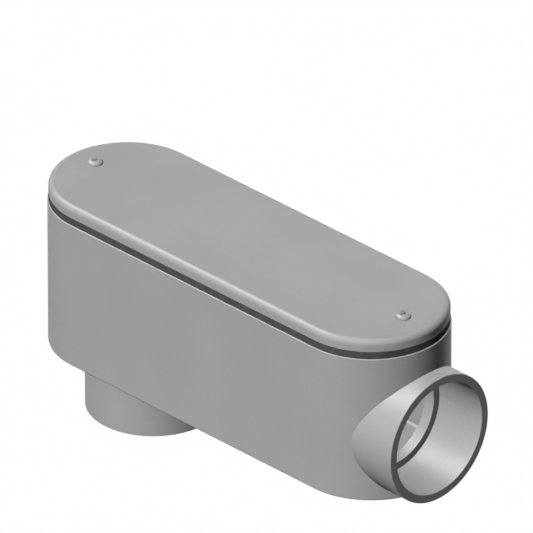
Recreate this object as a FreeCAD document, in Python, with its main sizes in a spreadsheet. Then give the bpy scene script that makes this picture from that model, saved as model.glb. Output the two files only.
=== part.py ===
import FreeCAD, Part
import math
import os
import Sketcher
from FreeCAD import Placement, Rotation, Vector

# Conduit body, LB pattern, for 53 (2 inch) rigid plastic conduit.
# A moulded housing turns the run of conduit through a right angle: one hub leaves its end and one leaves its
# underside at the other end. A gasket and a cover close the top, held by two screws in bosses.
# Millimetres, +Z up. The origin is the centre of the bottom socket's mouth, and +X runs to the side hub.

# Driving dimensions: name, millimetres, meaning.
DIMENSIONS = (
    ("socket_radius", 30.25, "bore that the conduit slips into"),
    ("socket_depth", 29.8, "mouth to conduit stop"),
    ("hub_wall", 4.3, "wall of both hubs"),
    ("stop_lip", 3.95, "how far the conduit stop reaches into the bore"),
    ("stop_thickness", 6.0, "side hub's stop, along the bore"),
    ("stop_drop", 0.2, "bottom hub's stop, the part that lies under the shell"),
    ("body_length", 252.8, "shell, end to end"),
    ("side_margin", 5.6, "shell's side beyond the hub's side"),
    ("wall", 4.0, "shell's wall"),
    ("floor", 3.0, "shell's floor"),
    ("hub_overhang", 2.1, "side hub's lowest line below the shell's underside"),
    ("headroom", 14.5, "rim above the side hub's tube"),
    ("tube_inset", 27.8, "side hub's inner end from the shell's end"),
    ("back_margin", 23.95, "bottom hub from the shell's other end"),
    ("underside_round", 1.0, "outer edge of the underside"),
    ("floor_bevel", 1.0, "corner between floor and wall"),
    ("rim_break", 0.4, "edges of the rim, broken"),
    ("mouth_break", 0.2, "outer edges of both hub mouths, broken"),
    ("boss_radius", 6.4, "screw boss"),
    ("boss_inset", 17.5, "screw axis from the shell's end"),
    ("web_thickness", 5.5, "web between boss and end wall"),
    ("web_drop", 6.1, "web's top below the rim"),
    ("gasket_thickness", 3.8, "sealing ring"),
    ("gasket_width", 6.05, "ring, outer edge to inner edge"),
    ("gasket_inset", 0.5, "ring's outer edge in from the shell's face"),
    ("tab_margin", 1.5, "gasket tab beyond the boss all round"),
    ("tab_fillet", 2.3, "corner between tab and ring"),
    ("cover_thickness", 6.8, "cover plate"),
    ("cover_inset", 0.5, "cover's edge in from the shell's face"),
    ("cover_round", 3.1, "round along the cover's top edge"),
    ("cover_break", 0.3, "edge of the cover's underside, broken"),
    ("screw_radius", 2.6, "shank"),
    ("screw_length", 16.0, "under the head"),
    ("tip_chamfer", 0.6, "end of the shank"),
    ("head_radius", 4.0, "screw head"),
    ("head_height", 2.1, "screw head"),
    ("head_bevel", 1.5, "slope round the head's top"),
    ("recess_reach", 1.75, "wing of the cross recess, from the axis"),
    ("recess_width", 0.85, "across a wing"),
    ("recess_depth", 1.2, "below the head's top"),
    ("through_clearance", 0.3, "hole in cover and gasket round the shank, radial"),
    ("pilot_clearance", 0.6, "hole in the boss round the shank's crests, radial"),
    ("pilot_spare", 4.0, "boss hole below the screw's tip"),
)

# Sizes that follow from the driving ones, as expressions over the sheet.
HUB_RADIUS = "(sizes.socket_radius + sizes.hub_wall)"
STOP_RADIUS = "(sizes.socket_radius - sizes.stop_lip)"
TUBE_LENGTH = "(sizes.socket_depth + sizes.stop_thickness)"
HALF_LENGTH = "(sizes.body_length / 2)"
HALF_WIDTH = f"({HUB_RADIUS} + sizes.side_margin)"
BODY_HEIGHT = f"(2 * {HUB_RADIUS} - sizes.hub_overhang + sizes.headroom)"
END_CENTRE = f"({HALF_LENGTH} - {HALF_WIDTH})"
SIDE_AXIS_HEIGHT = f"({HUB_RADIUS} - sizes.hub_overhang)"
SIDE_MOUTH = f"({HALF_LENGTH} - sizes.tube_inset + {TUBE_LENGTH})"
BOTTOM_AXIS = f"({HALF_LENGTH} - sizes.back_margin - {HUB_RADIUS})"
BOTTOM_DROP = "(sizes.socket_depth + sizes.stop_drop)"
SCREW_OFFSET = f"({HALF_LENGTH} - sizes.boss_inset)"
RIM_LEVEL = f"({BOTTOM_DROP} + {BODY_HEIGHT})"
COVER_LEVEL = f"({RIM_LEVEL} + sizes.gasket_thickness)"
HEAD_LEVEL = f"({COVER_LEVEL} + sizes.cover_thickness)"
PILOT_RADIUS = "(sizes.screw_radius + sizes.pilot_clearance)"
PILOT_DEPTH = ("(sizes.screw_length - sizes.cover_thickness - sizes.gasket_thickness"
               " + sizes.pilot_spare)")
THROUGH_RADIUS = "(sizes.screw_radius + sizes.through_clearance)"
TAB_RADIUS = "(sizes.boss_radius + sizes.tab_margin)"

# Volume below which a pocket counts as having missed the solid, and slack when edges are picked by place.
SMALLEST_CUT = 0.01
NEAR = 1e-4

document = FreeCAD.newDocument("conduit_body")


def write_sheet():
    """The driving dimensions in a spreadsheet: name, number and meaning, with the name as the alias."""
    table = document.addObject("Spreadsheet::Sheet", "sizes")
    for row, (name, number, meaning) in enumerate(DIMENSIONS, 1):
        table.set(f"A{row}", name)
        table.set(f"B{row}", str(number))
        table.set(f"C{row}", meaning)
        table.setAlias(f"B{row}", name)
    document.recompute()
    return table


sheet = write_sheet()


def new_body(name, along, level):
    """An empty body at its own place on the object, both given as expressions."""
    body = document.addObject("PartDesign::Body", name)
    body.Label = name
    body.Placement = Placement()
    body.setExpression("Placement.Base.x", along)
    body.setExpression("Placement.Base.z", level)
    return body


def new_sketch(body, name, role, right="0", up="0", out="0", turned=False):
    """An empty sketch on an origin plane of the body. Its own origin is moved right, up and out of the plane."""
    plane = next(item for item in body.Origin.OriginFeatures if item.Role == role)
    sketch = body.newObject("Sketcher::SketchObject", name)
    sketch.AttachmentSupport = [(plane, "")]
    sketch.MapMode = "FlatFace"
    if turned:
        sketch.AttachmentOffset = Placement(Vector(), Rotation(Vector(0, 0, 1), 180))
    sketch.setExpression("AttachmentOffset.Base.x", right)
    sketch.setExpression("AttachmentOffset.Base.y", up)
    sketch.setExpression("AttachmentOffset.Base.z", out)
    return sketch


def dimension(sketch, constraint, name, expression):
    """Adds one dimension to a sketch and ties it to an expression."""
    index = sketch.addConstraint(constraint)
    sketch.renameConstraint(index, name)
    sketch.setExpression(f"Constraints.{name}", expression)


def draw_circle(sketch, radius):
    """A circle round the sketch's origin."""
    circle = sketch.addGeometry(Part.Circle(Vector(), Vector(0, 0, 1), sheet.get("boss_radius")))
    sketch.addConstraint(Sketcher.Constraint("Coincident", circle, 3, -1, 1))
    dimension(sketch, Sketcher.Constraint("Radius", circle, 1.0), "radius", radius)


def draw_stadium(sketch, end_centre, radius):
    """Two half circles joined by straight sides, centred on the sketch's origin."""
    half = sheet.get("body_length") / 4
    bow = sheet.get("socket_radius")
    normal = Vector(0, 0, 1)
    quarter = math.pi / 2
    sketch.addGeometry([
        Part.ArcOfCircle(Part.Circle(Vector(half, 0, 0), normal, bow), -quarter, quarter),
        Part.LineSegment(Vector(half, bow, 0), Vector(-half, bow, 0)),
        Part.ArcOfCircle(Part.Circle(Vector(-half, 0, 0), normal, bow), quarter, 3 * quarter),
        Part.LineSegment(Vector(-half, -bow, 0), Vector(half, -bow, 0)),
    ])
    sketch.addConstraint([
        Sketcher.Constraint("Tangent", 0, 2, 1, 1),
        Sketcher.Constraint("Tangent", 1, 2, 2, 1),
        Sketcher.Constraint("Tangent", 2, 2, 3, 1),
        Sketcher.Constraint("Tangent", 3, 2, 0, 1),
        Sketcher.Constraint("Equal", 0, 2),
        Sketcher.Constraint("Symmetric", 0, 3, 2, 3, -1, 1),
        Sketcher.Constraint("PointOnObject", 0, 3, -1),
    ])
    dimension(sketch, Sketcher.Constraint("Radius", 0, bow), "radius", radius)
    dimension(sketch, Sketcher.Constraint("DistanceX", -1, 1, 0, 3, half), "end_centre", end_centre)


def draw_bar(sketch, start, end, width):
    """A rectangle across the sketch's X axis, between two distances from the origin."""
    half = sheet.get("recess_width")
    low, high = half, 2 * half
    corners = [Vector(low, -half, 0), Vector(high, -half, 0), Vector(high, half, 0), Vector(low, half, 0)]
    for number, corner in enumerate(corners):
        sketch.addGeometry(Part.LineSegment(corner, corners[(number + 1) % 4]))
    for number in range(4):
        sketch.addConstraint(Sketcher.Constraint("Coincident", number, 2, (number + 1) % 4, 1))
    sketch.addConstraint([
        Sketcher.Constraint("Horizontal", 0),
        Sketcher.Constraint("Horizontal", 2),
        Sketcher.Constraint("Vertical", 3),
        Sketcher.Constraint("Symmetric", 1, 1, 1, 2, -1),
    ])
    dimension(sketch, Sketcher.Constraint("DistanceX", -1, 1, 0, 1, low), "start", start)
    dimension(sketch, Sketcher.Constraint("DistanceX", -1, 1, 0, 2, high), "end", end)
    dimension(sketch, Sketcher.Constraint("DistanceY", 1, 1, 1, 2, 2 * half), "width", width)


def draw_tab(sketch, radius, reach):
    """A half circle round the sketch's origin, carried on by two straight sides to a square end."""
    bow = sheet.get("boss_radius")
    end = 2 * bow
    quarter = math.pi / 2
    sketch.addGeometry([
        Part.ArcOfCircle(Part.Circle(Vector(), Vector(0, 0, 1), bow), quarter, 3 * quarter),
        Part.LineSegment(Vector(0, -bow, 0), Vector(end, -bow, 0)),
        Part.LineSegment(Vector(end, -bow, 0), Vector(end, bow, 0)),
        Part.LineSegment(Vector(end, bow, 0), Vector(0, bow, 0)),
    ])
    sketch.addConstraint([
        Sketcher.Constraint("Tangent", 0, 2, 1, 1),
        Sketcher.Constraint("Coincident", 1, 2, 2, 1),
        Sketcher.Constraint("Coincident", 2, 2, 3, 1),
        Sketcher.Constraint("Tangent", 3, 2, 0, 1),
        Sketcher.Constraint("Horizontal", 1),
        Sketcher.Constraint("Horizontal", 3),
        Sketcher.Constraint("Vertical", 2),
        Sketcher.Constraint("Coincident", 0, 3, -1, 1),
    ])
    dimension(sketch, Sketcher.Constraint("Radius", 0, bow), "radius", radius)
    dimension(sketch, Sketcher.Constraint("DistanceX", -1, 1, 2, 1, end), "reach", reach)


def draw_screw_half(sketch):
    """Half the screw's section, to the right of its axis: shank below the origin, head above it."""
    shank, length = sheet.get("screw_radius"), sheet.get("screw_length")
    head, height = sheet.get("head_radius"), sheet.get("head_height")
    points = [(0, height), (0, -length), (shank, -length), (shank, 0), (head, 0), (head, height)]
    corners = [Vector(across, up, 0) for across, up in points]
    count = len(corners)
    for number, corner in enumerate(corners):
        sketch.addGeometry(Part.LineSegment(corner, corners[(number + 1) % count]))
    for number in range(count):
        sketch.addConstraint(Sketcher.Constraint("Coincident", number, 2, (number + 1) % count, 1))
    for number in (2, 4):
        sketch.addConstraint(Sketcher.Constraint("Vertical", number))
    for number in (1, 5):
        sketch.addConstraint(Sketcher.Constraint("Horizontal", number))
    sketch.addConstraint([
        Sketcher.Constraint("PointOnObject", 0, 1, -2),
        Sketcher.Constraint("PointOnObject", 0, 2, -2),
        Sketcher.Constraint("PointOnObject", 3, 1, -1),
        Sketcher.Constraint("PointOnObject", 3, 2, -1),
    ])
    dimension(sketch, Sketcher.Constraint("DistanceY", 0, 2, -1, 1, length), "length", "sizes.screw_length")
    dimension(sketch, Sketcher.Constraint("DistanceX", -1, 1, 3, 1, shank), "shank", "sizes.screw_radius")
    dimension(sketch, Sketcher.Constraint("DistanceX", -1, 1, 3, 2, head), "head", "sizes.head_radius")
    dimension(sketch, Sketcher.Constraint("DistanceY", -1, 1, 0, 1, height), "height", "sizes.head_height")


def pad(body, name, sketch, length, reverse=False):
    """Material from a sketch, along its normal or against it."""
    feature = body.newObject("PartDesign::Pad", name)
    feature.Profile = sketch
    feature.Reversed = reverse
    feature.setExpression("Length", length)
    document.recompute()
    return feature


def pocket(body, name, sketch, length, reverse=False):
    """A cut from a sketch, against its normal or along it. One that misses the solid stops the build."""
    before = body.Shape.Volume
    feature = body.newObject("PartDesign::Pocket", name)
    feature.Profile = sketch
    feature.Reversed = reverse
    feature.setExpression("Length", length)
    document.recompute()
    if feature.Shape.Volume > before - SMALLEST_CUT:
        raise RuntimeError(f"{body.Label}: {name} cuts nothing")
    return feature


def dress(body, kind, name, size_property, size, chosen):
    """A fillet or chamfer on those edges of the body's last feature for which chosen is true."""
    base = body.Tip
    names = [f"Edge{number}" for number, edge in enumerate(base.Shape.Edges, 1) if chosen(edge.BoundBox)]
    feature = body.newObject(f"PartDesign::{kind}", name)
    feature.Base = (base, names)
    feature.setExpression(size_property, size)
    document.recompute()


def level(height):
    """A test for edges that lie wholly at one height."""
    return lambda box: abs(box.ZMin - height) < NEAR and abs(box.ZMax - height) < NEAR


def build_housing():
    """The moulding, in its own frame: the shell's underside at height 0 and its middle on the Z axis."""
    body = new_body("housing", BOTTOM_AXIS, BOTTOM_DROP)

    # Shell with half-round ends, hollowed from the top.
    outline = new_sketch(body, "ShellOutline", "XY_Plane")
    draw_stadium(outline, END_CENTRE, HALF_WIDTH)
    pad(body, "Shell", outline, BODY_HEIGHT)
    dress(body, "Fillet", "UndersideRound", "Radius", "sizes.underside_round", level(0))
    hollow = new_sketch(body, "ChamberOutline", "XY_Plane", out="sizes.floor")
    draw_stadium(hollow, END_CENTRE, f"{HALF_WIDTH} - sizes.wall")
    pocket(body, "Chamber", hollow, BODY_HEIGHT, reverse=True)
    dress(body, "Chamfer", "FloorBevel", "Size", "sizes.floor_bevel", level(sheet.get("floor")))
    dress(body, "Chamfer", "RimBreak", "Size", "sizes.rim_break", level(local_box(body).ZMax))

    # Side hub: its tube runs on inside the shell as far as the conduit stop.
    side = {"right": "0", "up": SIDE_AXIS_HEIGHT, "out": SIDE_MOUTH}
    side_outer = new_sketch(body, "SideHubOutline", "YZ_Plane", **side)
    draw_circle(side_outer, HUB_RADIUS)
    pad(body, "SideHub", side_outer, TUBE_LENGTH, reverse=True)
    mouth = local_box(body).XMax
    at_mouth = lambda box: abs(box.XMin - mouth) < NEAR and abs(box.XMax - mouth) < NEAR
    dress(body, "Chamfer", "SideMouthBreak", "Size", "sizes.mouth_break", at_mouth)

    # Bottom hub: it ends in the floor, which is its conduit stop.
    bottom = {"right": f"-{BOTTOM_AXIS}", "up": "0", "out": f"-{BOTTOM_DROP}"}
    bottom_outer = new_sketch(body, "BottomHubOutline", "XY_Plane", **bottom)
    draw_circle(bottom_outer, HUB_RADIUS)
    pad(body, "BottomHub", bottom_outer, f"{BOTTOM_DROP} + sizes.floor / 2")
    dress(body, "Chamfer", "BottomMouthBreak", "Size", "sizes.mouth_break", level(local_box(body).ZMin))

    # Screw bosses, each with a web to its end wall. The far one stands on the floor, the near one on the tube.
    ends = (
        ("Far", f"-{SCREW_OFFSET}", "sizes.floor / 2", True),
        ("Near", SCREW_OFFSET, SIDE_AXIS_HEIGHT, False),
    )
    for end, along, foot, turned in ends:
        place = {"right": along, "out": foot, "turned": turned}
        boss = new_sketch(body, f"{end}BossOutline", "XY_Plane", **place)
        draw_circle(boss, "sizes.boss_radius")
        pad(body, f"{end}Boss", boss, f"{BODY_HEIGHT} - {foot}")
        web = new_sketch(body, f"{end}WebOutline", "XY_Plane", **place)
        draw_bar(web, "sizes.boss_radius / 2", "sizes.boss_inset - sizes.wall / 2", "sizes.web_thickness")
        pad(body, f"{end}Web", web, f"{BODY_HEIGHT} - {foot} - sizes.web_drop")

    # Sockets and the smaller bores through their stops, last, so that they come out clear.
    side_socket = new_sketch(body, "SideSocketOutline", "YZ_Plane", **side)
    draw_circle(side_socket, "sizes.socket_radius")
    pocket(body, "SideSocket", side_socket, "sizes.socket_depth")
    side_stop = new_sketch(body, "SideStopOutline", "YZ_Plane", **side)
    draw_circle(side_stop, STOP_RADIUS)
    pocket(body, "SideStop", side_stop, TUBE_LENGTH)
    bottom_socket = new_sketch(body, "BottomSocketOutline", "XY_Plane", **bottom)
    draw_circle(bottom_socket, "sizes.socket_radius")
    pocket(body, "BottomSocket", bottom_socket, "sizes.socket_depth", reverse=True)
    bottom_stop = new_sketch(body, "BottomStopOutline", "XY_Plane", **bottom)
    draw_circle(bottom_stop, STOP_RADIUS)
    pocket(body, "BottomStop", bottom_stop, f"{BOTTOM_DROP} + sizes.floor", reverse=True)

    # Blind holes for the screws.
    for end, along in (("Far", f"-{SCREW_OFFSET}"), ("Near", SCREW_OFFSET)):
        pilot = new_sketch(body, f"{end}PilotOutline", "XY_Plane", right=along, out=BODY_HEIGHT)
        draw_circle(pilot, PILOT_RADIUS)
        pocket(body, f"{end}Pilot", pilot, PILOT_DEPTH)


def local_box(body):
    """The box of a body's last feature, in the body's own frame."""
    return body.Tip.Shape.BoundBox


def build_gasket():
    """The sealing ring on the rim, with a tab round each screw. Its underside is at height 0."""
    body = new_body("gasket", BOTTOM_AXIS, RIM_LEVEL)
    outer = new_sketch(body, "RingOutline", "XY_Plane")
    draw_stadium(outer, END_CENTRE, f"{HALF_WIDTH} - sizes.gasket_inset")
    pad(body, "Ring", outer, "sizes.gasket_thickness")
    inner = new_sketch(body, "WindowOutline", "XY_Plane", out="sizes.gasket_thickness")
    draw_stadium(inner, END_CENTRE, f"{HALF_WIDTH} - sizes.gasket_inset - sizes.gasket_width")
    pocket(body, "Window", inner, "sizes.gasket_thickness")

    # Tabs, from the screw axis to the middle of the ring.
    reach = "sizes.boss_inset - sizes.gasket_inset - sizes.gasket_width / 2"
    for end, along, turned in (("Far", f"-{SCREW_OFFSET}", True), ("Near", SCREW_OFFSET, False)):
        outline = new_sketch(body, f"{end}TabOutline", "XY_Plane", right=along, turned=turned)
        draw_tab(outline, TAB_RADIUS, reach)
        pad(body, f"{end}Tab", outline, "sizes.gasket_thickness")
    screw_offset = sheet.get("body_length") / 2 - sheet.get("boss_inset")
    tab_radius = sheet.get("boss_radius") + sheet.get("tab_margin")

    def in_corner(box):
        upright = box.XLength < NEAR and box.YLength < NEAR
        return upright and abs(box.XMin) > screw_offset + NEAR and abs(box.YMin) < tab_radius + NEAR

    dress(body, "Fillet", "TabFillet", "Radius", "sizes.tab_fillet", in_corner)
    drill_screw_holes(body, "sizes.gasket_thickness")


def drill_screw_holes(body, thickness):
    """A clearance hole for each screw, through a plate whose underside is at height 0."""
    for end, along in (("Far", f"-{SCREW_OFFSET}"), ("Near", SCREW_OFFSET)):
        hole = new_sketch(body, f"{end}HoleOutline", "XY_Plane", right=along, out=thickness)
        draw_circle(hole, THROUGH_RADIUS)
        pocket(body, f"{end}Hole", hole, thickness)


def build_cover():
    """The plate over the gasket, with its top edge rounded over. Its underside is at height 0."""
    body = new_body("cover", BOTTOM_AXIS, COVER_LEVEL)
    outline = new_sketch(body, "PlateOutline", "XY_Plane")
    draw_stadium(outline, END_CENTRE, f"{HALF_WIDTH} - sizes.cover_inset")
    pad(body, "Plate", outline, "sizes.cover_thickness")
    dress(body, "Fillet", "TopRound", "Radius", "sizes.cover_round", level(local_box(body).ZMax))
    dress(body, "Chamfer", "UndersideBreak", "Size", "sizes.cover_break", level(0))
    drill_screw_holes(body, "sizes.cover_thickness")


def build_screw(name, along):
    """A pan-head screw with a cross recess. The head's underside is at height 0."""
    body = new_body(name, along, HEAD_LEVEL)
    section = new_sketch(body, "Section", "XZ_Plane")
    draw_screw_half(section)
    turned = body.newObject("PartDesign::Revolution", "Blank")
    turned.Profile = section
    turned.ReferenceAxis = (section, ["V_Axis"])
    turned.Angle = 360
    document.recompute()
    dress(body, "Chamfer", "HeadBevel", "Size", "sizes.head_bevel", level(local_box(body).ZMax))
    dress(body, "Chamfer", "Tip", "Size", "sizes.tip_chamfer", level(local_box(body).ZMin))
    wing = new_sketch(body, "WingOutline", "XY_Plane", right="-sizes.recess_reach", out="sizes.head_height")
    draw_bar(wing, "0", "2 * sizes.recess_reach", "sizes.recess_width")
    slot = pocket(body, "Wing", wing, "sizes.recess_depth")
    cross = body.newObject("PartDesign::PolarPattern", "Cross")
    cross.Originals = [slot]
    cross.Axis = (next(item for item in body.Origin.OriginFeatures if item.Role == "Z_Axis"), [""])
    cross.Angle = 90
    cross.Occurrences = 2
    body.Tip = cross
    document.recompute()


def export_bodies():
    """Stops if any object failed or a body has no sound solid, then writes each body to its own file."""
    document.recompute()
    for item in document.Objects:
        if {"Invalid", "Error"} & set(item.State):
            raise RuntimeError(f"{item.Label}: {item.State}")
    bodies = [item for item in document.Objects if item.TypeId == "PartDesign::Body"]
    for body in bodies:
        if body.Shape.isNull() or not body.Shape.isValid() or len(body.Shape.Solids) != 1:
            raise RuntimeError(f"{body.Label}: the shape isn't one sound solid")
    os.makedirs("parts", exist_ok=True)
    for body in bodies:
        body.Shape.exportStep(f"parts/{body.Label}.step")
        print(body.Label, round(body.Shape.Volume), body.Shape.BoundBox)


build_housing()
build_gasket()
build_cover()
build_screw("screw_left", f"{BOTTOM_AXIS} - {SCREW_OFFSET}")
build_screw("screw_right", f"{BOTTOM_AXIS} + {SCREW_OFFSET}")
export_bodies()
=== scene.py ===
import math

import bmesh
import bpy
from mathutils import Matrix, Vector


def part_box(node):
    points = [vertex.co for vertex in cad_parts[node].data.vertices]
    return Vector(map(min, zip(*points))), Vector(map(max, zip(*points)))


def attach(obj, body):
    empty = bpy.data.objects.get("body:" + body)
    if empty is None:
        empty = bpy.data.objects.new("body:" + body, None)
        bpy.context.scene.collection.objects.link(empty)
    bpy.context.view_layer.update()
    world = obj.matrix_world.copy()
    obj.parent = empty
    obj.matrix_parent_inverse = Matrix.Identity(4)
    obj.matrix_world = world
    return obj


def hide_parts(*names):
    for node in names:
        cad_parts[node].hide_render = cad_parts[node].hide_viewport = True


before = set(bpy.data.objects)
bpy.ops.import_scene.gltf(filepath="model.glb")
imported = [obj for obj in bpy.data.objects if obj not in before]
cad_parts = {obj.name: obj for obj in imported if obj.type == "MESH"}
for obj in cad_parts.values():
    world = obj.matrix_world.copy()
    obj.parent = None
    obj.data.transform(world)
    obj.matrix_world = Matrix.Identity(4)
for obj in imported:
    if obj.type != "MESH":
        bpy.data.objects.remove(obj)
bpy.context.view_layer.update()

# Conduit body, dressed for the picture. Metres, in the part's own frame: the origin is the centre of the
# bottom socket's mouth, +X runs to the side hub and +Z is up.

# The picture: parallel-looking view from a quarter to the right of the front, 30 degrees above the horizon.
PICTURE_WIDTH = 533
MILLIMETRES_A_PIXEL = 0.5
VIEW_AZIMUTH = 45.0
VIEW_ELEVATION = 30.0
# Where the picture's centre lies from the middle of the housing's rim, in pixels to the right and up.
AIM_RIGHT = 18.0
AIM_UP = -8.6
# Focal length and sensor width, in millimetres.
LENS = 1500.0
SENSOR = 36.0
# The camera sees from this share of its distance to the object, to this many times that distance.
NEAREST = 0.5
FARTHEST = 2.0

# Light: name, azimuth and elevation that it comes from, strength, angle that it spans, and whether it casts
# shadows, lights matt surfaces and shows in gloss.
LIGHTS = (
    ("key", 10.5, 46.2, 0.35, 30.0, True, True, True),
    ("key_fill", 10.5, 46.2, 3.76, 10.0, False, True, True),
    ("sheen", -71.0, 48.5, 26.0, 36.0, False, False, True),
    ("back_left", 213.0, 3.0, 2.3, 12.0, False, True, False),
    ("back_right", 190.0, 2.0, 1.1, 12.0, True, True, False),
)
# The world's light on matt surfaces, and the floor's own colour in bounced light.
FILL = 0.02
FLOOR_BOUNCE = 0.05
# The floor's colour where the camera sees it, and how much of it is plain white.
FLOOR_COLOUR = 0.95
FLOOR_WHITE = 0.85
FLOOR_DROP = 0.6
FLOOR_SIZE = 12.0

# Screws: the thread and the head that the plain solids only stand in for. The slope and the groove say how
# steep the thread's flanks are and how much of a pitch stays at the root.
THREAD_PITCH = 0.00141
THREAD_CREST = 0.0026
THREAD_ROOT = 0.00208
THREAD_RUNOUT = 0.0009
THREAD_SLOPE = 2.4
THREAD_GROOVE = 0.3
TIP_RADIUS = 0.00175
HEAD_SIDE = 0.0006
HEAD_FLAT = 0.0020
HEAD_EDGE = 0.00012
# Rows of points along one pitch and over the head, and columns of them round the axis.
ROWS_A_PITCH = 8
HEAD_ROWS = 10
COLUMNS = 56
# Cross recess: its wings' reach and half width at the top, its depth, and the share of reach and of width
# left at the bottom.
RECESS_REACH = 0.00180
RECESS_HALF = 0.00045
RECESS_DEPTH = 0.00125
RECESS_TAPER = 0.62
RECESS_NARROWING = 0.8
# How far the recess's cutter stands over the head, and how much farther its wings reach there.
CUTTER_RISE = 0.0004
CUTTER_FLARE = 1.08
# Edges sharper than this, in degrees, stay sharp, and points nearer than this, in metres, become one.
SHARP_EDGE = 40.0
SAME_POINT = 2e-6


def grey(level):
    """A display grey from 0 to 1 as the linear colour that shaders take."""
    linear = level / 12.92 if level <= 0.04045 else ((level + 0.055) / 1.055) ** 2.4
    return (linear, linear, linear, 1.0)


# Materials

class Shader:
    """A material with a principled shader, and short ways to add nodes in the object's own coordinates."""

    def __init__(self, name):
        self.material = bpy.data.materials.new(name)
        self.material.use_nodes = True
        self.nodes = self.material.node_tree.nodes
        self.links = self.material.node_tree.links
        self.surface = self.nodes["Principled BSDF"]
        self.place = self.nodes.new("ShaderNodeTexCoord").outputs["Object"]

    def link(self, source, target):
        self.links.new(source, target)

    def noise(self, scale, detail=2.0, roughness=0.5):
        node = self.nodes.new("ShaderNodeTexNoise")
        node.inputs["Scale"].default_value = scale
        node.inputs["Detail"].default_value = detail
        node.inputs["Roughness"].default_value = roughness
        self.link(self.place, node.inputs["Vector"])
        return node.outputs["Fac"]

    def cells(self, scale):
        """Distance from the middle of the nearest cell."""
        node = self.nodes.new("ShaderNodeTexVoronoi")
        node.inputs["Scale"].default_value = scale
        self.link(self.place, node.inputs["Vector"])
        return node.outputs["Distance"]

    def spread(self, source, low, high, start=0.3, end=0.7):
        """A value moved from one range to another."""
        node = self.nodes.new("ShaderNodeMapRange")
        for key, value in (("From Min", start), ("From Max", end), ("To Min", low), ("To Max", high)):
            node.inputs[key].default_value = value
        self.link(source, node.inputs["Value"])
        return node.outputs["Result"]

    def mix(self, factor, first, second):
        """A colour between two others. Either may be a fixed colour or another node's output."""
        node = self.nodes.new("ShaderNodeMix")
        node.data_type = "RGBA"
        self.link(factor, node.inputs["Factor"])
        for key, value in ((6, first), (7, second)):
            if isinstance(value, tuple):
                node.inputs[key].default_value = value
            else:
                self.link(value, node.inputs[key])
        return node.outputs[2]

    def bump(self, height, distance, strength, normal=None):
        node = self.nodes.new("ShaderNodeBump")
        node.inputs["Distance"].default_value = distance
        node.inputs["Strength"].default_value = strength
        self.link(height, node.inputs["Height"])
        if normal:
            self.link(normal, node.inputs["Normal"])
        return node.outputs["Normal"]

    def set(self, **values):
        """Sets the shader's sockets: a fixed value on the socket itself, or another node's output."""
        for key, value in values.items():
            socket = self.surface.inputs[key.replace("_", " ")]
            if isinstance(value, (int, float, tuple)):
                socket.default_value = value
            else:
                self.link(value, socket)


def moulded_pvc():
    """Light grey moulded PVC, satin, with a fine grain, a faintly uneven surface and cloudy colour."""
    shader = Shader("moulded_pvc")
    clouds = shader.spread(shader.noise(scale=22.0, detail=3.0), low=0.0, high=1.0)
    specks = shader.spread(shader.noise(scale=900.0), low=0.0, high=0.35, start=0.45, end=0.75)
    base = shader.mix(clouds, grey(0.627), grey(0.649))
    base = shader.mix(specks, base, grey(0.605))
    waves = shader.bump(shader.noise(scale=120.0, detail=1.0), distance=0.00012, strength=0.12)
    fine = shader.noise(scale=2200.0, roughness=0.6)
    grain = shader.bump(fine, distance=0.00004, strength=0.35, normal=waves)
    shader.set(
        Base_Color=base,
        Roughness=shader.spread(shader.noise(scale=260.0, detail=3.0), low=0.36, high=0.46),
        Specular_IOR_Level=0.04,
        Normal=grain,
    )
    return shader.material


def foam_rubber():
    """Dark grey closed-cell foam: matt, pored and a little mottled."""
    shader = Shader("foam_rubber")
    pores = shader.cells(scale=1500.0)
    dark = shader.spread(pores, low=0.6, high=0.0, start=0.05, end=0.45)
    mottle = shader.spread(shader.noise(scale=180.0, detail=3.0), low=0.0, high=1.0)
    base = shader.mix(mottle, grey(0.29), grey(0.335))
    shader.set(
        Base_Color=shader.mix(dark, base, grey(0.24)),
        Roughness=shader.spread(shader.noise(scale=700.0), low=0.78, high=0.92),
        Specular_IOR_Level=0.03,
        Normal=shader.bump(pores, distance=0.00015, strength=0.5),
    )
    return shader.material


def screw_steel():
    """Bright plated steel with fine turning marks round the axis."""
    shader = Shader("screw_steel")
    marks = shader.nodes.new("ShaderNodeTexWave")
    marks.wave_type = "BANDS"
    marks.bands_direction = "Z"
    marks.inputs["Scale"].default_value = 3000.0
    marks.inputs["Distortion"].default_value = 1.5
    shader.link(shader.place, marks.inputs["Vector"])
    tarnish = shader.spread(shader.noise(scale=400.0, detail=3.0), low=0.0, high=1.0)
    shader.set(
        Base_Color=shader.mix(tarnish, grey(0.60), grey(0.65)),
        Metallic=0.01,
        Roughness=shader.spread(shader.noise(scale=1400.0, detail=3.0), low=0.36, high=0.46),
        Specular_IOR_Level=0.06,
        Normal=shader.bump(marks.outputs["Fac"], distance=0.00001, strength=0.25),
    )
    return shader.material


def seen_directly(nodes, links, high, low=0.0):
    """A value that is high for camera, glossy and transmission rays and low for the others."""
    path = nodes.new("ShaderNodeLightPath")
    total = path.outputs["Is Camera Ray"]
    for other in ("Is Glossy Ray", "Is Transmission Ray"):
        higher = nodes.new("ShaderNodeMath")
        higher.operation = "MAXIMUM"
        links.new(total, higher.inputs[0])
        links.new(path.outputs[other], higher.inputs[1])
        total = higher.outputs[0]
    scale = nodes.new("ShaderNodeMath")
    scale.operation = "MULTIPLY_ADD"
    scale.inputs[1].default_value = high - low
    scale.inputs[2].default_value = low
    links.new(total, scale.inputs[0])
    return scale.outputs[0]


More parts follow.
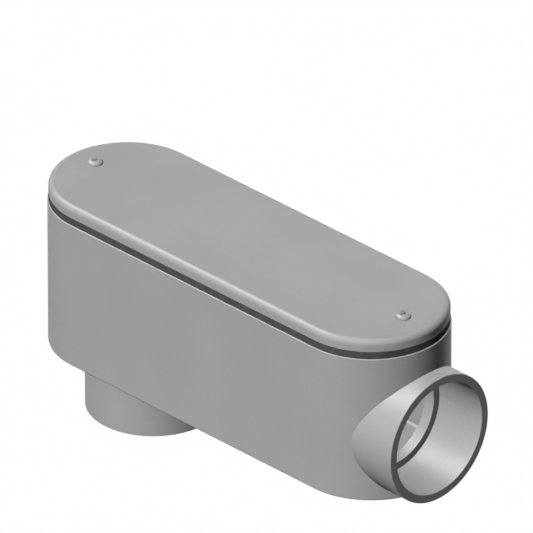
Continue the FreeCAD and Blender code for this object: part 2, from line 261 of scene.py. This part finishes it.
def pale_floor():
    """Pale floor, white to the camera and in reflections, with the object's shadow kept."""
    material = bpy.data.materials.new("pale_floor")
    material.use_nodes = True
    nodes, links = material.node_tree.nodes, material.node_tree.links
    nodes.clear()
    output = nodes.new("ShaderNodeOutputMaterial")
    lit = nodes.new("ShaderNodeBsdfDiffuse")
    links.new(seen_directly(nodes, links, FLOOR_COLOUR, FLOOR_BOUNCE), lit.inputs["Color"])
    white = nodes.new("ShaderNodeEmission")
    blend = nodes.new("ShaderNodeMixShader")
    links.new(seen_directly(nodes, links, FLOOR_WHITE), blend.inputs["Fac"])
    links.new(lit.outputs["BSDF"], blend.inputs[1])
    links.new(white.outputs["Emission"], blend.inputs[2])
    links.new(blend.outputs["Shader"], output.inputs["Surface"])
    return material


# Screws

def thread_radius(turn, height, low, high):
    """The thread's outside at a place along one pitch, faded to the root at both ends."""
    share = turn % 1.0
    slope = min(max(THREAD_SLOPE * (1.0 - abs(2.0 * share - 1.0)) - THREAD_GROOVE, 0.0), 1.0)
    fade = min(max(min(height - low, high - height) / THREAD_RUNOUT, 0.0), 1.0)
    return THREAD_ROOT + (THREAD_CREST - THREAD_ROOT) * slope * fade


def add_ring(mesh, radius, height):
    """A closed row of points round the axis. The first point is repeated at the end and merged later."""
    points = []
    for column in range(COLUMNS + 1):
        angle = 2 * math.pi * column / COLUMNS
        points.append(mesh.verts.new((radius * math.cos(angle), radius * math.sin(angle), height)))
    return points


def thread_rings(mesh, low, high):
    """Rows of points that follow the thread's helix from low to high."""
    last = math.ceil((high - low) / THREAD_PITCH * ROWS_A_PITCH)
    rings = []
    for row in range(-ROWS_A_PITCH, last + 1):
        points = []
        for column in range(COLUMNS + 1):
            angle = 2 * math.pi * column / COLUMNS
            turn = row / ROWS_A_PITCH + column / COLUMNS
            height = min(max(low + turn * THREAD_PITCH, low), high)
            radius = thread_radius(row / ROWS_A_PITCH, height, low, high)
            points.append(mesh.verts.new((radius * math.cos(angle), radius * math.sin(angle), height)))
        rings.append(points)
    return rings


def head_profile(head_radius, height):
    """Radius and height of the head's outline, from its underside to the rim of its flat top."""
    outline = [
        (THREAD_ROOT, 0.0),
        (head_radius - HEAD_EDGE, 0.0),
        (head_radius, HEAD_EDGE),
        (head_radius, HEAD_SIDE),
    ]
    for row in range(1, HEAD_ROWS + 1):
        angle = math.pi / 2 * row / HEAD_ROWS
        across = HEAD_FLAT + (head_radius - HEAD_FLAT) * math.cos(angle)
        outline.append((across, HEAD_SIDE + (height - HEAD_SIDE) * math.sin(angle)))
    return outline


def join_rings(mesh, rings):
    """Faces between each row and the next, and a fan over each end."""
    for below, above in zip(rings, rings[1:]):
        for column in range(COLUMNS):
            mesh.faces.new((below[column], below[column + 1], above[column + 1], above[column]))
    for ring, turned in ((rings[0], True), (rings[-1], False)):
        middle = mesh.verts.new((0.0, 0.0, ring[0].co.z))
        for column in range(COLUMNS):
            corners = (ring[column], ring[column + 1], middle)
            mesh.faces.new(corners[::-1] if turned else corners)


def recess_cutter(top):
    """A cross that narrows as it goes down, to be cut out of the head."""
    mesh = bmesh.new()
    rows = []
    for height, reach, half in (
        (top + CUTTER_RISE, RECESS_REACH * CUTTER_FLARE, RECESS_HALF),
        (top - RECESS_DEPTH, RECESS_REACH * RECESS_TAPER, RECESS_HALF * RECESS_NARROWING),
    ):
        outline = [(reach, -half), (reach, half), (half, half)]
        points = []
        for cosine, sine in ((1, 0), (0, 1), (-1, 0), (0, -1)):
            for across, up in outline:
                x, y = across * cosine - up * sine, across * sine + up * cosine
                points.append(mesh.verts.new((x, y, height)))
        rows.append(points)
    mesh.faces.new(rows[0])
    mesh.faces.new(rows[1][::-1])
    count = len(rows[0])
    for number in range(count):
        following = (number + 1) % count
        mesh.faces.new((rows[0][following], rows[0][number], rows[1][number], rows[1][following]))
    return finished(mesh, "recess_cutter")


def finished(mesh, name):
    """A new object from mesh code, with doubled points merged and faces turned outward."""
    bmesh.ops.remove_doubles(mesh, verts=mesh.verts, dist=SAME_POINT)
    bmesh.ops.recalc_face_normals(mesh, faces=mesh.faces)
    data = bpy.data.meshes.new(name)
    mesh.to_mesh(data)
    mesh.free()
    thing = bpy.data.objects.new(name, data)
    bpy.context.scene.collection.objects.link(thing)
    return thing


def cut(thing, cutter):
    """Takes cutter's solid out of thing's mesh, for good, and deletes cutter."""
    modifier = thing.modifiers.new("cut", "BOOLEAN")
    modifier.object = cutter
    modifier.solver = "EXACT"
    bpy.context.view_layer.update()
    evaluated = thing.evaluated_get(bpy.context.evaluated_depsgraph_get())
    result = bpy.data.meshes.new_from_object(evaluated)
    thing.modifiers.clear()
    thing.data = result
    bpy.data.objects.remove(cutter)


def smooth(thing, angle):
    """Smooth shading, with edges sharper than an angle in degrees kept sharp."""
    for face in thing.data.polygons:
        face.use_smooth = True
    thing.data.set_sharp_from_angle(angle=math.radians(angle))


def build_screw(node, material):
    """A pan-head machine screw with its thread and cross recess, in place of a plain solid."""
    low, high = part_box(node)
    head_height = high.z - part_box("cover")[1].z
    under_head = high.z - head_height
    head_radius = (high.x - low.x) / 2
    tip = low.z - under_head
    chamfer = THREAD_ROOT - TIP_RADIUS
    mesh = bmesh.new()
    rings = [add_ring(mesh, TIP_RADIUS, tip)]
    rings += thread_rings(mesh, tip + chamfer, 0.0)
    rings += [add_ring(mesh, radius, height) for radius, height in head_profile(head_radius, head_height)]
    join_rings(mesh, rings)
    screw = finished(mesh, f"{node}_threaded")
    cut(screw, recess_cutter(head_height))
    smooth(screw, SHARP_EDGE)
    screw.data.materials.clear()
    screw.data.materials.append(material)
    screw.location = ((low.x + high.x) / 2, (low.y + high.y) / 2, under_head)
    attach(screw, node)
    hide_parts(node)


# Scene

def dress_node(node, material):
    """Gives a CAD node its material in every slot."""
    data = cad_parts[node].data
    data.materials.clear()
    data.materials.append(material)


def direction(azimuth, elevation):
    """The way from the object back to a camera."""
    turn, rise = math.radians(azimuth), math.radians(elevation)
    return Vector((math.sin(turn) * math.cos(rise), -math.cos(turn) * math.cos(rise), math.sin(rise)))


def rim_middle():
    """The middle of the housing's open rim."""
    low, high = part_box("gasket")
    return Vector(((low.x + high.x) / 2, 0.0, low.z))


def add_camera():
    """A long lens far off, so that parallel lines stay all but parallel."""
    pixel = MILLIMETRES_A_PIXEL / 1000
    back = direction(VIEW_AZIMUTH, VIEW_ELEVATION)
    turned = (-back).to_track_quat("-Z", "Y")
    right, up = turned @ Vector((1, 0, 0)), turned @ Vector((0, 1, 0))
    aim = rim_middle() + right * (AIM_RIGHT * pixel) + up * (AIM_UP * pixel)
    distance = PICTURE_WIDTH * pixel * LENS / SENSOR
    data = bpy.data.cameras.new("camera")
    data.lens = LENS
    data.sensor_width = SENSOR
    data.clip_start = distance * NEAREST
    data.clip_end = distance * FARTHEST
    camera = bpy.data.objects.new("camera", data)
    bpy.context.scene.collection.objects.link(camera)
    camera.location = aim + back * distance
    camera.rotation_mode = "QUATERNION"
    camera.rotation_quaternion = turned
    bpy.context.scene.camera = camera


def add_light(name, azimuth, elevation, strength, width, shadow, matt, gloss):
    """A broad far light. Without shadows it reaches into the sockets and the chamber, as in the picture."""
    data = bpy.data.lights.new(name, "SUN")
    data.energy = strength
    data.angle = math.radians(width)
    data.use_shadow = shadow
    if not shadow:
        data.cycles.max_bounces = 0
        data.cycles.use_multiple_importance_sampling = False
    light = bpy.data.objects.new(name, data)
    light.visible_diffuse = matt
    light.visible_glossy = gloss
    bpy.context.scene.collection.objects.link(light)
    light.rotation_mode = "QUATERNION"
    light.rotation_quaternion = direction(azimuth, elevation).to_track_quat("Z", "Y")


def set_world():
    """White to the camera and in reflections, and a weak fill for the rest."""
    world = bpy.data.worlds.new("studio")
    bpy.context.scene.world = world
    world.use_nodes = True
    nodes, links = world.node_tree.nodes, world.node_tree.links
    background = nodes["Background"]
    background.inputs["Color"].default_value = (1.0, 1.0, 1.0, 1.0)
    links.new(seen_directly(nodes, links, 1.0, FILL), background.inputs["Strength"])


def add_floor():
    """A plain pale floor, well below the object."""
    half = FLOOR_SIZE / 2
    corners = ((-half, -half), (half, -half), (half, half), (-half, half))
    mesh = bmesh.new()
    mesh.faces.new([mesh.verts.new((x, y, 0.0)) for x, y in corners])
    floor = finished(mesh, "floor")
    floor.location = (0.0, 0.0, -FLOOR_DROP)
    floor.data.materials.append(pale_floor())


bpy.context.scene.view_settings.view_transform = "Standard"
pvc = moulded_pvc()
steel = screw_steel()
dress_node("housing", pvc)
dress_node("cover", pvc)
dress_node("gasket", foam_rubber())
for name in ("screw_left", "screw_right"):
    build_screw(name, steel)
add_floor()
for light in LIGHTS:
    add_light(*light)
set_world()
add_camera()
